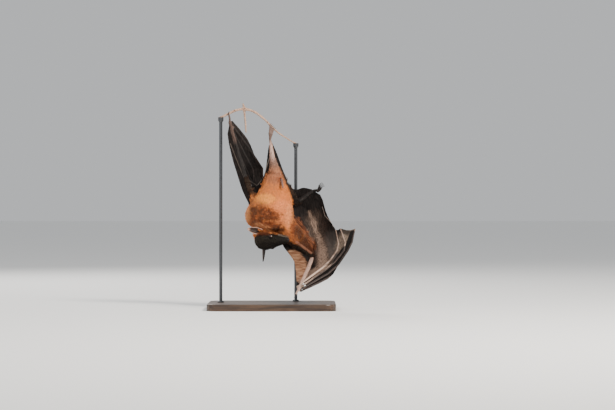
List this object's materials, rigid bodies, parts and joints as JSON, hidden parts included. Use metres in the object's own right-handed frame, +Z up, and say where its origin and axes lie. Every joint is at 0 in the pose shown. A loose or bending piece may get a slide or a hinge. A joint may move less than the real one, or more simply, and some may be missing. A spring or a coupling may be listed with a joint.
{
  "type": "fruit bat",
  "caption": "Life-size still model of a male fruit bat hanging head down from a cut twig on a display stand, one wing folded up and the other half open.",
  "frame": {"origin": "middle of the underside of the stand's base", "axes": "+Z up; the bat's belly faces -Y, its own left side is towards -X"},
  "size_m": [0.3978, 0.3001, 0.5571],
  "materials": {
    "coat": "long soft fur, orange brown",
    "dark_coat": "short dark fur",
    "wing_skin": "thin bare skin, dull",
    "bare_skin": "bare or thinly haired skin",
    "finger_skin": "bare skin over bone",
    "horn": "polished dark horn",
    "eye": "wet dark brown",
    "bark": "smooth young bark",
    "stand_wood": "dark stained board, satin",
    "stand_steel": "dark grey, satin"
  },
  "bodies": {
    "root": {"genital": "bare_skin", "head": "dark_coat", "neck": "coat", "trunk": "coat", "nose": "horn", "left_ear": "dark_coat", "right_ear": "dark_coat", "left_eye": "eye", "right_eye": "eye", "left_upper_arm": "coat", "right_upper_arm": "coat", "left_forearm": "coat", "right_forearm": "coat", "left_leg": "bare_skin", "right_leg": "coat", "left_foot": "bare_skin", "right_foot": "dark_coat", "left_thumb": "bare_skin", "right_thumb": "bare_skin", "left_thumb_claw": "horn", "right_thumb_claw": "horn", "left_finger_2": "finger_skin", "left_finger_3": "finger_skin", "left_finger_4": "finger_skin", "left_finger_5": "finger_skin", "right_finger_2": "finger_skin", "right_finger_3": "finger_skin", "right_finger_4": "finger_skin", "right_finger_5": "finger_skin", "left_web_5_4": "wing_skin", "left_web_4_3": "wing_skin", "left_web_3_2": "wing_skin", "right_web_5_4": "wing_skin", "right_web_4_3": "wing_skin", "right_web_3_2": "wing_skin", "left_side_skin": "wing_skin", "right_side_skin": "wing_skin", "left_front_skin": "wing_skin", "right_front_skin": "wing_skin", "left_tail_skin": "wing_skin", "right_tail_skin": "wing_skin", "left_fold_skin": "wing_skin", "perch_twig": "bark", "stand_base": "stand_wood", "stand_rod_left": "stand_steel", "stand_rod_right": "stand_steel", "left_toe_claw_1": "horn", "left_toe_claw_2": "horn", "left_toe_claw_3": "horn", "left_toe_claw_4": "horn", "left_toe_claw_5": "horn", "right_toe_claw_1": "horn", "right_toe_claw_2": "horn", "right_toe_claw_3": "horn", "right_toe_claw_4": "horn", "right_toe_claw_5": "horn"}
  },
  "joints": []
}
